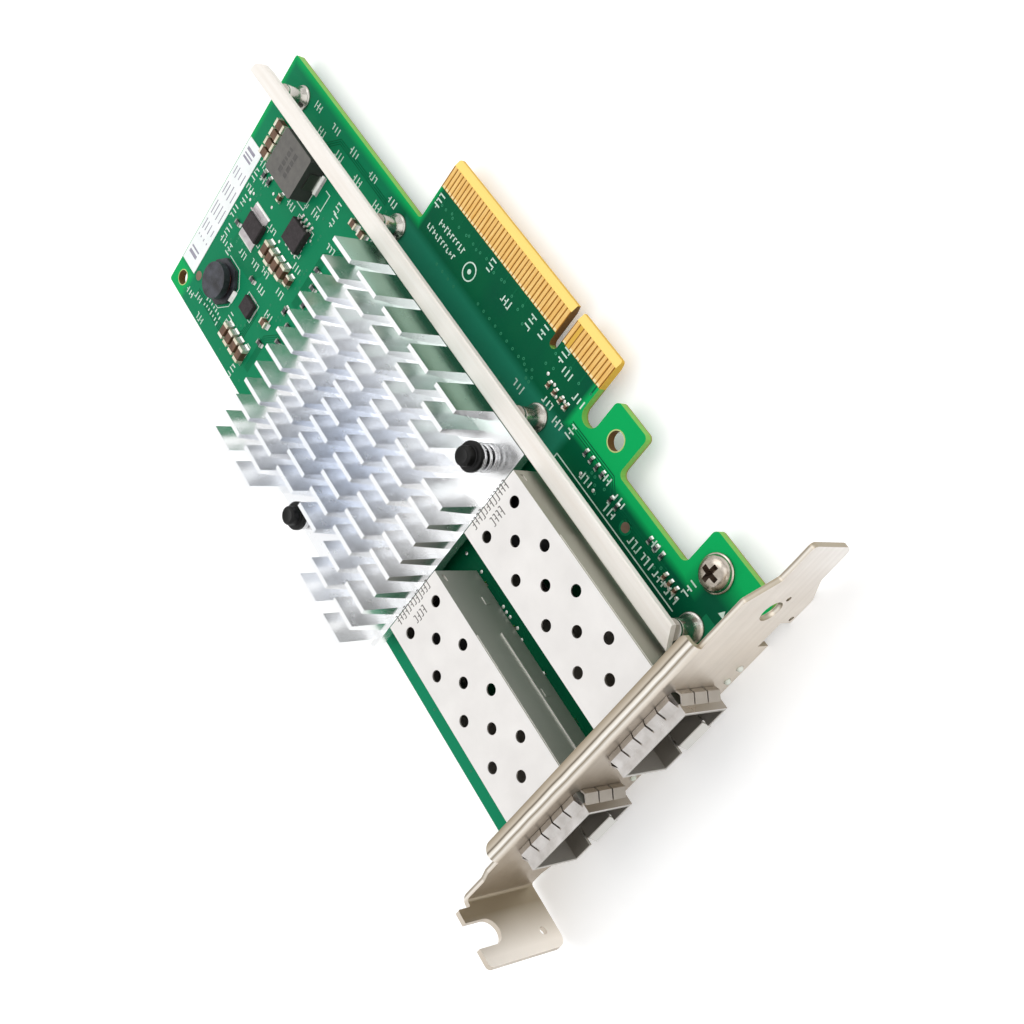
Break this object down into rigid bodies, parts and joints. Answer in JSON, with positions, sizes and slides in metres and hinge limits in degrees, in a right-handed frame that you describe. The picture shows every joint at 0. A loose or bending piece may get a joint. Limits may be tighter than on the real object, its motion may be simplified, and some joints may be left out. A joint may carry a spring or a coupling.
{
  "type": "network interface card",
  "caption": "Low-profile expansion card with pluggable transceiver cages, a finned heat sink held by sprung pins, a stiffener bar and a slotted steel bracket.",
  "frame": {"origin": "centre of the key slot in the edge contacts, at the contact tongue's lower edge, on the component face", "axes": "+X from the bracket to the rear end of the board, +Y from the contact edge to the top edge, +Z out of the component face"},
  "size_m": [0.1628, 0.081, 0.0187],
  "materials": {
    "bar_steel": "satin",
    "black_nylon": "matte",
    "capacitor_ceramic": "matte",
    "chip_lid": "satin",
    "chip_substrate": "matte",
    "connector_plastic": "matte",
    "copper_wire": "satin",
    "extruded_aluminium": "satin",
    "ferrite": "matte",
    "gap_filler": "matte",
    "gold_contact": "polished",
    "iron_powder": "matte",
    "label_paper": "matte",
    "light_plastic": "gloss",
    "moulded_package": "matte",
    "nickel_steel": "satin",
    "resistor_ceramic": "matte",
    "screw_steel": "polished",
    "solder_mask": "satin",
    "solder_tin": "satin",
    "spring_steel": "polished",
    "tin_plate": "satin"
  },
  "bodies": {
    "root": {"bracket": "nickel_steel", "bracket_screws": "screw_steel", "cage_a": "tin_plate", "cage_b": "tin_plate", "capacitor_ends": "solder_tin", "ceramic_capacitors": "capacitor_ceramic", "chip_resistors": "resistor_ceramic", "circuit_board": "solder_mask", "controller_chip": "chip_substrate", "controller_lid": "chip_lid", "driver_chip": "moulded_package", "driver_chip_leads": "solder_tin", "drum_inductor_base": "ferrite", "drum_inductor_core": "ferrite", "drum_inductor_winding": "copper_wire", "edge_contacts_component_side": "gold_contact", "edge_contacts_solder_side": "gold_contact", "heat_sink": "extruded_aluminium", "power_inductor": "iron_powder", "power_inductor_clips": "solder_tin", "push_pin_springs": "spring_steel", "push_pins": "black_nylon", "rear_label": "label_paper", "rectifier_diode": "moulded_package", "rectifier_terminals": "solder_tin", "resistor_ends": "solder_tin", "socket_contacts_a": "gold_contact", "socket_contacts_b": "gold_contact", "solder_side_capacitor_ends": "solder_tin", "solder_side_capacitors": "capacitor_ceramic", "spring_collar_a": "nickel_steel", "spring_collar_b": "nickel_steel", "status_lights": "light_plastic", "stiffener_bar": "bar_steel", "stiffener_posts": "screw_steel", "thermal_pad": "gap_filler", "timing_chip": "moulded_package", "transceiver_socket_a": "connector_plastic", "transceiver_socket_b": "connector_plastic"}
  },
  "joints": []
}
